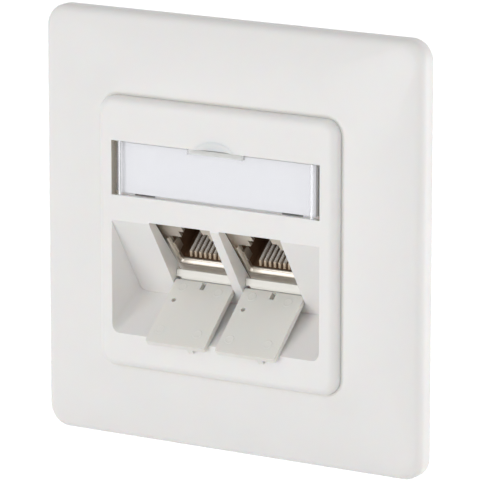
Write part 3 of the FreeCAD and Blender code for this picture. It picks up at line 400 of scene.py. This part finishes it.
# Lighter copy of the plastic on the sills, painted light
sill_lit_plastic = white_plastic("sill_lit_plastic", True, SILL_LIT_WHITE).set(THIN).material
# The marks take the flaps' darker copy, painted shade
mark_shaded_plastic = white_plastic("mark_shaded_plastic", True, FLAP_SHADED_WHITE).set(THIN).material
# The frame's painted shade reaches farther, a contact shadow beside the plate
frame_plastic = white_plastic("frame_plastic", reach=0.0016, stops=CONTACT_SHADOW).material


# Pieces, in millimetres

def new_piece(name, vertices, faces, finish, body, sharp=35.0, material=None):
    """A piece that is smooth up to the given angle, in its finish or a material of its own."""
    mesh = bpy.data.meshes.new(name)
    mesh.from_pydata([tuple(c * MM for c in v) for v in vertices], [], faces)
    mesh.validate()
    shell = bmesh.new()
    shell.from_mesh(mesh)
    bmesh.ops.recalc_face_normals(shell, faces=shell.faces)
    shell.to_mesh(mesh)
    shell.free()
    for face in mesh.polygons:
        face.use_smooth = True
    mesh.set_sharp_from_angle(angle=math.radians(sharp))
    mesh.materials.append(material or finishes[finish].material)
    piece = bpy.data.objects.new(name, mesh)
    scene.collection.objects.link(piece)
    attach(piece, body)
    return piece


def tilted(start, tilt, across, down, deep):
    """The point that lies down a tilted face and deep behind it."""
    return (
        across,
        start[0] + down * math.sin(tilt) + deep * math.cos(tilt),
        start[1] - down * math.cos(tilt) + deep * math.sin(tilt),
    )


def square_ring(half, corner, y, steps=12):
    """Points round a square with rounded corners, at one depth."""
    points = []
    for quarter in range(4):
        for step in range(steps + 1):
            angle = math.pi / 2 * (quarter + step / steps)
            turn = math.pi / 4 + math.pi / 2 * quarter
            reach = (half - corner) * math.sqrt(2.0)
            across = reach * math.cos(turn) + corner * math.cos(angle)
            along = reach * math.sin(turn) + corner * math.sin(angle)
            points.append((across, y, along))
    return points


def joined(rings, closed):
    """Points and faces of rings joined one to the next, in a closed loop or with capped ends."""
    count = len(rings[0])
    vertices, faces = [point for ring in rings for point in ring], []
    for at in range(len(rings) if closed else len(rings) - 1):
        follow = (at + 1) % len(rings)
        for step in range(count):
            other = (step + 1) % count
            faces.append((
                at * count + step, at * count + other, follow * count + other, follow * count + step
            ))
    if not closed:
        faces.append(tuple(reversed(range(count))))
        faces.append(tuple(range(len(vertices) - count, len(vertices))))
    return vertices, faces


def box_between(low, high, vertices, faces):
    """Adds a box between two corners."""
    first = len(vertices)
    for x in (low[0], high[0]):
        for y in (low[1], high[1]):
            for z in (low[2], high[2]):
                vertices.append((x, y, z))
    for side in (
        (0, 1, 3, 2), (4, 6, 7, 5), (0, 4, 5, 1), (2, 3, 7, 6), (0, 2, 6, 4), (1, 5, 7, 3)
    ):
        faces.append(tuple(first + corner for corner in side))


def smooth_frame():
    """Cover frame with one continuous crowned face, hollow and ribbed behind."""
    side, side_corner = 40.0, 4.0
    edge, edge_depth, edge_steps = 2.0, 2.09, 8
    slope = math.radians(20.0)
    face_steps, swelling, swelling_power = 20, 10.0, 1.2
    opening, opening_corner, dome = 25.4, 3.25, 6.9
    ledge, ledge_corner, ledge_front, ledge_back = 25.17, 3.02, 0.14 - dome, 0.9 - dome
    seat, lip, lip_back = -2.7, 24.0, -1.2
    groove, groove_corner, groove_floor = 27.0, 4.85, -4.3
    step_side, inner_side, inner_corner, inner_floor = 31.8, 37.8, 2.9, -2.4

    rings = []
    for inset, y in ((0.3, 0.0), (0.08, -0.08), (0.0, -0.3)):
        rings.append(square_ring(side - inset, side_corner - inset, y))
    for step in range(edge_steps + 1):
        angle = (math.pi / 2 - slope) * step / edge_steps
        half = side - edge + edge * math.cos(angle)
        rings.append(square_ring(half, side_corner, -edge_depth - edge * math.sin(angle)))
    start = side - edge + edge * math.sin(slope)
    low = edge_depth + edge * math.cos(slope)
    run = start - opening
    bend = (math.tan(slope) * run - (dome - low)) / run ** 2
    for step in range(1, face_steps):
        part = step / face_steps
        inward = run * part
        corner = side_corner + (opening_corner - side_corner) * part
        corner += swelling * math.sin(math.pi * part) ** swelling_power
        y = -low - math.tan(slope) * inward + bend * inward ** 2
        rings.append(square_ring(start - inward, corner, y))
    for outset, back in ((0.2, 0.03), (0.05, 0.1), (0.0, 0.12)):
        rings.append(square_ring(opening + outset, opening_corner + outset, back - dome))
    for half, corner, y in (
        (ledge, ledge_corner, ledge_front), (ledge, ledge_corner, ledge_back),
        (opening, opening_corner, ledge_back), (opening, opening_corner, seat),
        (lip, opening_corner, seat), (lip, opening_corner, lip_back),
        (groove, groove_corner, lip_back), (groove, groove_corner, groove_floor),
        (step_side, inner_corner, groove_floor), (step_side, inner_corner, inner_floor),
        (inner_side, inner_corner, inner_floor), (inner_side, inner_corner, 0.0),
    ):
        rings.append(square_ring(half, corner, y))
    vertices, faces = joined(rings, True)

    rib_from, rib_to, rib_half = 26.7, 32.1, 0.6
    rib_front, rib_back = -4.6, -1.5
    for place in (-16.0, 16.0):
        near_side, far_side = place - rib_half, place + rib_half
        for end in (-1, 1):
            near_end, far_end = sorted((end * rib_from, end * rib_to))
            box_between(
                (near_end, rib_front, near_side), (far_end, rib_back, far_side), vertices, faces
            )
            box_between(
                (near_side, rib_front, near_end), (far_side, rib_back, far_end), vertices, faces
            )
    piece = new_piece(
        "smooth_frame", vertices, faces, "white_plastic", "outlet", material=frame_plastic
    )
    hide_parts("cover_frame")


def ejector_marks(name, centre, body):
    """Low round witness marks on the inner face of an open flap."""
    segments = 28
    inner_face = 0.5
    top, foot_height = 0.02, -0.03
    profile = [(0.6, top), (0.72, 0.03), (0.8, 0.07), (0.88, 0.05), (0.95, foot_height)]
    places = [(-4.1, 1.4), (3.6, 1.6), (-4.4, 11.1), (3.6, 11.0)]
    turn = RECESS_TILT + FLAP_SWING
    hinge = Vector((centre, *FLAP_HINGE))
    up = Vector((0.0, -math.sin(turn), math.cos(turn)))
    inward = Vector((0.0, math.cos(turn), math.sin(turn)))
    across = Vector((1.0, 0.0, 0.0))
    vertices, faces = [], []
    for side, along in places:
        middle = hinge + across * side + up * along + inward * inner_face
        first = len(vertices)
        vertices.append(tuple(middle + inward * top))
        for radius, height in profile:
            for step in range(segments):
                angle = 2 * math.pi * step / segments
                out = across * math.cos(angle) + up * math.sin(angle)
                vertices.append(tuple(middle + out * radius + inward * height))
        foot = len(vertices)
        vertices.append(tuple(middle + inward * foot_height))
        for step in range(segments):
            other = (step + 1) % segments
            faces.append((first, first + 1 + step, first + 1 + other))
            faces.append((foot, foot - segments + other, foot - segments + step))
            for ring in range(len(profile) - 1):
                base = first + 1 + segments * ring
                follow = base + segments
                faces.append((base + step, follow + step, follow + other, base + other))
    new_piece(name, vertices, faces, "white_plastic", body, 60.0, mark_shaded_plastic)


def port_sill(name, centre):
    """Upright lower lip of a port in front of its jack, with a nose that reaches to the hinge.

    Its section is given by places down the recess and deep behind it. Towards its ends it shrinks
    to a share of its height.
    """
    bottom = 14.6
    wall = [
        (14.34, 1.44), (13.42, 2.03), (13.35, 2.1), (13.34, 2.16), (13.4, 2.26), (14.5, 3.1),
        (bottom, 3.1),
    ]
    nose = [(14.98, 1.46), (14.94, 1.3), (14.86, 1.22), (14.72, 1.22), (14.5, 1.34), (14.4, 1.4)]
    plain = [(14.62, 1.5), (14.6, 1.46), (14.57, 1.43), (14.53, 1.41), (14.47, 1.4), (14.4, 1.41)]
    half = [
        (6.46, 0.3, plain), (6.4, 0.75, plain), (6.2, 1.0, plain), (5.45, 1.0, plain),
        (5.35, 1.0, nose),
    ]
    stations = [(-across, share, foot) for across, share, foot in half] + half[::-1]
    rings = []
    for across, share, foot in stations:
        rings.append([
            tilted(
                RECESS_START, RECESS_TILT, centre + across, bottom + (down - bottom) * share, deep
            )
            for down, deep in foot + wall
        ])
    vertices, faces = joined(rings, False)
    new_piece(name, vertices, faces, "white_plastic", "outlet", material=sill_lit_plastic)


def nail_scoop():
    """Dished thumb rest above the label's window, deepest at the window's edge."""
    across, along = 28, 10
    half_width, window_edge, back = 4.26, 17.1, -8.18
    radius, centre, slope_width, depth = 5.99, 12.9, 1.79, 0.74
    vertices, faces = [], []
    for back_side in (False, True):
        for i in range(across + 1):
            x = half_width * math.sin(math.pi / 2 * (2.0 * i / across - 1.0))
            rim = centre + math.sqrt(radius ** 2 - x * x)
            for j in range(along + 1):
                z = window_edge + (rim - window_edge) * j / along
                share = (radius - math.hypot(x, z - centre)) / slope_width
                share = min(1.0, max(0.0, share))
                dip = depth * share * share * (3.0 - 2.0 * share)
                vertices.append((x, back if back_side else PLATE_FRONT + dip, z))
    row = along + 1
    half = row * (across + 1)
    for i in range(across):
        for j in range(along):
            a = i * row + j
            faces.append((a, a + row, a + row + 1, a + 1))
            faces.append((half + a, half + a + 1, half + a + row + 1, half + a + row))
        for j in (0, along):
            a = i * row + j
            faces.append((a, half + a, half + a + row, a + row))
    for i in (0, across):
        for j in range(along):
            a = i * row + j
            faces.append((a, a + 1, half + a + 1, half + a))
    new_piece("nail_scoop", vertices, faces, "white_plastic", "outlet", 50.0)


def shield_bead(name, centre):
    """Rolled edge of a jack's shield, down both sides of its mouth and along the bottom."""
    top, inner_side, outer_side, flare = 6.3, -5.9, -6.75, 0.3
    inner_bend, inner_radius = (-5.4, 12.35), 0.5
    outer_bend, outer_radius = (-6.05, 13.7), 0.7
    bend_steps, round_steps = 6, 10
    back, height, roundness = 0.93, 0.55, 0.7
    pairs = []
    for down in (top, 8.0, 10.0, 12.0):
        pairs.append(((inner_side, down), (outer_side, down + flare * (down - top))))
    for step in range(bend_steps + 1):
        angle = math.pi / 2 * step / bend_steps
        across, along = math.cos(angle), math.sin(angle)
        inner = (inner_bend[0] - inner_radius * across, inner_bend[1] + inner_radius * along)
        outer = (outer_bend[0] - outer_radius * across, outer_bend[1] + outer_radius * along)
        pairs.append((inner, outer))
    pairs += [((-x0, down0), (-x1, down1)) for (x0, down0), (x1, down1) in reversed(pairs)]
    rings = []
    for (x0, down0), (x1, down1) in pairs:
        ring = []
        for step in range(round_steps + 1):
            share = step / round_steps
            x = x0 + (x1 - x0) * share
            down = down0 + (down1 - down0) * share
            deep = back - height * math.sin(math.pi * share) ** roundness
            ring.append(tilted(JACK_START, JACK_TILT, centre + x, down, deep))
        rings.append(ring)
    vertices, faces = joined(rings, False)
    new_piece(name, vertices, faces, "nickel_plate", "outlet", 50.0)


smooth_frame()
nail_scoop()
shield_bead("left_shield_bead", -PORT_CENTRE)
shield_bead("right_shield_bead", PORT_CENTRE)
port_sill("left_port_sill", -PORT_CENTRE)
port_sill("right_port_sill", PORT_CENTRE)
ejector_marks("left_flap_marks", -PORT_CENTRE, "left_flap")
ejector_marks("right_flap_marks", PORT_CENTRE, "right_flap")


# Camera, as fitted to the photograph's edges

IMAGE_WIDTH = 480.0
FOCAL_PIXELS = 4576.3
SENSOR = 36.0
CAMERA_ANGLES = (31.748, 12.390)
CAMERA_DISTANCE = 821.19
CAMERA_TARGET = (5.49, PLATE_FRONT, 1.64)


def direction(around, above):
    """Way to a place at two angles in degrees: round to the right from the front, and up."""
    a, e = math.radians(around), math.radians(above)
    return Vector((math.sin(a) * math.cos(e), -math.cos(a) * math.cos(e), math.sin(e)))


azimuth = math.radians(CAMERA_ANGLES[0])
back = direction(*CAMERA_ANGLES)
right = Vector((math.cos(azimuth), math.sin(azimuth), 0.0))
up = back.cross(right)
eye = Vector(CAMERA_TARGET) * MM + back * CAMERA_DISTANCE * MM
lens = bpy.data.cameras.new("camera")
lens.sensor_width = SENSOR
lens.lens = FOCAL_PIXELS * SENSOR / IMAGE_WIDTH
lens.clip_start = 0.01
lens.clip_end = 50.0
camera = bpy.data.objects.new("camera", lens)
scene.collection.objects.link(camera)
camera.matrix_world = Matrix((
    (right.x, up.x, back.x, eye.x),
    (right.y, up.y, back.y, eye.y),
    (right.z, up.z, back.z, eye.z),
    (0.0, 0.0, 0.0, 1.0),
))
scene.camera = camera


# Stage: a pale floor well below the outlet, a white surround and soft lamps

AMBIENT = 0.3
FLOOR_REACH, FLOOR_HEIGHT = 3.0, -0.26
FLOOR_COLOUR, FLOOR_GLOW = grey(0.8), 0.92
LAMP_SIZE, LAMP_DISTANCE, LAMP_COLOUR = 0.7, 0.9, (0.985, 0.993, 1.0)
LAMPS = {  # the two angles in degrees, and the power in watts
    "front": (-14.0, -4.0, 3.72),
    "left": (-80.0, -14.0, 0.9),
    "right": (80.0, 5.0, 1.0),
    "high_right": (40.0, 40.0, 0.9),
    "high_left": (-40.0, 40.0, 0.7),
    "rim_right": (112.0, 0.0, 1.6),
    "rim_back": (130.0, -10.0, 2.7),
    "rim_top": (180.0, 45.0, 0.7),
}


def seen_white(tree, white, plain, end):
    """White to the camera, in reflections and through clear pieces, plain in the light it gives."""
    path = tree.add("ShaderNodeLightPath").outputs
    seen = tree.combine("MAXIMUM", path["Is Camera Ray"], path["Is Glossy Ray"])
    seen = tree.combine("MAXIMUM", seen, path["Is Transmission Ray"])
    mix = tree.add("ShaderNodeMixShader")
    tree.link(seen, mix.inputs[0])
    tree.link(plain.outputs[0], mix.inputs[1])
    tree.link(white.outputs[0], mix.inputs[2])
    tree.link(mix.outputs[0], end.inputs["Surface"])


world = bpy.data.worlds.new("surround")
scene.world = world
surround = Tree(world)
seen_white(
    surround,
    surround.add("ShaderNodeBackground", {"Color": grey(1.0), "Strength": 1.0}),
    surround.add("ShaderNodeBackground", {"Color": grey(1.0), "Strength": AMBIENT}),
    surround.add("ShaderNodeOutputWorld"),
)

floor_mesh = bpy.data.meshes.new("floor")
floor_mesh.from_pydata(
    [
        (x * FLOOR_REACH, y * FLOOR_REACH, FLOOR_HEIGHT)
        for x, y in ((-1, -1), (1, -1), (1, 1), (-1, 1))
    ],
    [],
    [(0, 1, 2, 3)],
)
floor = bpy.data.objects.new("floor", floor_mesh)
scene.collection.objects.link(floor)
floor_paint = bpy.data.materials.new("floor_paint")
paint = Tree(floor_paint)
matt = paint.add("ShaderNodeBsdfDiffuse", {"Color": FLOOR_COLOUR})
glow = paint.add("ShaderNodeEmission", {"Strength": FLOOR_GLOW})
both = paint.add("ShaderNodeAddShader")
paint.link(matt.outputs[0], both.inputs[0])
paint.link(glow.outputs[0], both.inputs[1])
seen_white(paint, both, matt, paint.add("ShaderNodeOutputMaterial"))
floor_mesh.materials.append(floor_paint)

for name, (around, above, power) in LAMPS.items():
    way = direction(around, above)
    data = bpy.data.lights.new("lamp_" + name, "AREA")
    data.shape = "DISK"
    data.size = LAMP_SIZE
    data.energy = power
    data.color = LAMP_COLOUR
    lamp = bpy.data.objects.new("lamp_" + name, data)
    lamp.location = way * LAMP_DISTANCE
    lamp.rotation_euler = way.to_track_quat("Z", "Y").to_euler()
    scene.collection.objects.link(lamp)

scene.view_settings.view_transform = "Standard"
